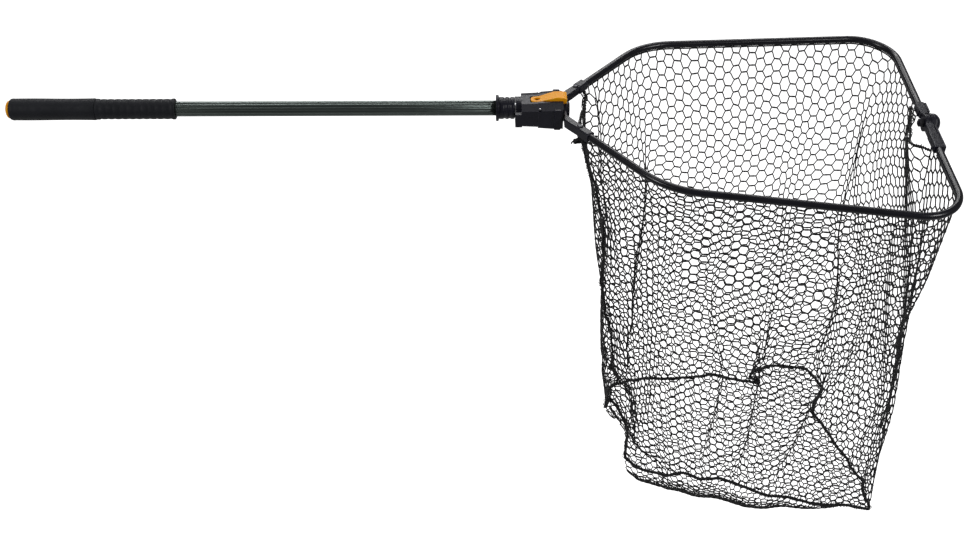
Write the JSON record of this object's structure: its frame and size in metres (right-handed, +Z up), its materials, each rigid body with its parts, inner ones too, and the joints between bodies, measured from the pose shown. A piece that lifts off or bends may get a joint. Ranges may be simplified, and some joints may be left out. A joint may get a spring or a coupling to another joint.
{
  "type": "folding landing net",
  "caption": "Angling landing net with a telescopic handle, a latched head, a hoop that folds in half and a deep mesh bag.",
  "frame": {"origin": "middle of the butt cap's flat end, on the handle's axis", "axes": "+X along the handle towards the hoop's front bar, +Y towards the far side of the hoop, +Z up out of the hoop, so the bag hangs towards -Z"},
  "size_m": [1.4983, 0.521, 0.8317],
  "materials": {
    "anodised_tube": "dark green-grey anodised, lengthwise flutes",
    "inner_tube": "plain drawn",
    "frame_tube": "black satin coating",
    "housing": "navy-black satin moulding",
    "arm": "navy-black satin moulding",
    "grip": "matte grip",
    "orange_plastic": "semi-gloss orange moulding",
    "nylon": "plain nylon",
    "steel": "plated",
    "dark_steel": "blackened",
    "cord": "black twisted cord",
    "net": "black knotless netting"
  },
  "bodies": {
    "handle": {"outer_tube": "anodised_tube", "butt_grip": "grip", "ribbed_grip": "grip", "butt_cap": "orange_plastic", "collet": "nylon"},
    "lock_collar": {"lock_collar": "housing"},
    "head": {"hub_body": "housing", "inner_tube": "inner_tube", "inner_tube_plug": "nylon", "tube_rivet": "steel", "latch_pin": "steel", "latch_spring": "steel", "fold_bolt": "arm", "fold_nut": "steel", "net_bag": "net", "bag_bottom": "net", "bottom_seam_cord": "cord", "side_seam_cord": "cord", "hub_hem_cord": "cord", "hinge_hem_cord": "cord"},
    "latch": {"release_latch": "orange_plastic"},
    "near_half": {"near_arm": "arm", "near_arm_screw": "dark_steel", "near_frame_tube": "frame_tube", "near_hem_cord": "cord", "near_hinge_socket": "arm", "near_hinge_cover": "housing", "front_hinge_cap": "housing", "front_hinge_nut": "dark_steel"},
    "far_half": {"far_arm": "arm", "far_arm_screw": "dark_steel", "far_frame_tube": "frame_tube", "far_hem_cord": "cord", "far_hinge_socket": "arm", "far_hinge_cover": "housing"}
  },
  "joints": [
    {"name": "telescope", "type": "slide", "parent": "handle", "child": "head", "axis": [1, 0, 0], "range_m": [0, 0.4]},
    {"name": "lock_twist", "type": "hinge", "parent": "handle", "child": "lock_collar", "pos_m": [0.795, 0, 0], "axis": [1, 0, 0], "range_deg": [0, 90]},
    {"name": "latch_lift", "type": "hinge", "parent": "head", "child": "latch", "pos_m": [0.849, 0, 0.012], "axis": [0, -1, 0], "range_deg": [0, 10], "deforming": ["latch_spring"]},
    {"name": "near_fold", "type": "hinge", "parent": "head", "child": "near_half", "pos_m": [0.88987, 0, -0.006], "axis": [0.9991, 0, -0.0429], "range_deg": [0, 80], "deforming": ["net_bag", "bag_bottom", "bottom_seam_cord", "side_seam_cord", "hub_hem_cord", "hinge_hem_cord"]},
    {"name": "far_fold", "type": "hinge", "parent": "head", "child": "far_half", "pos_m": [0.88987, 0, -0.006], "axis": [0.9991, 0, -0.0429], "range_deg": [-80, 0]}
  ],
  "couplings": [
    {"joint": "far_fold", "follows": "near_fold", "ratio": -1}
  ]
}
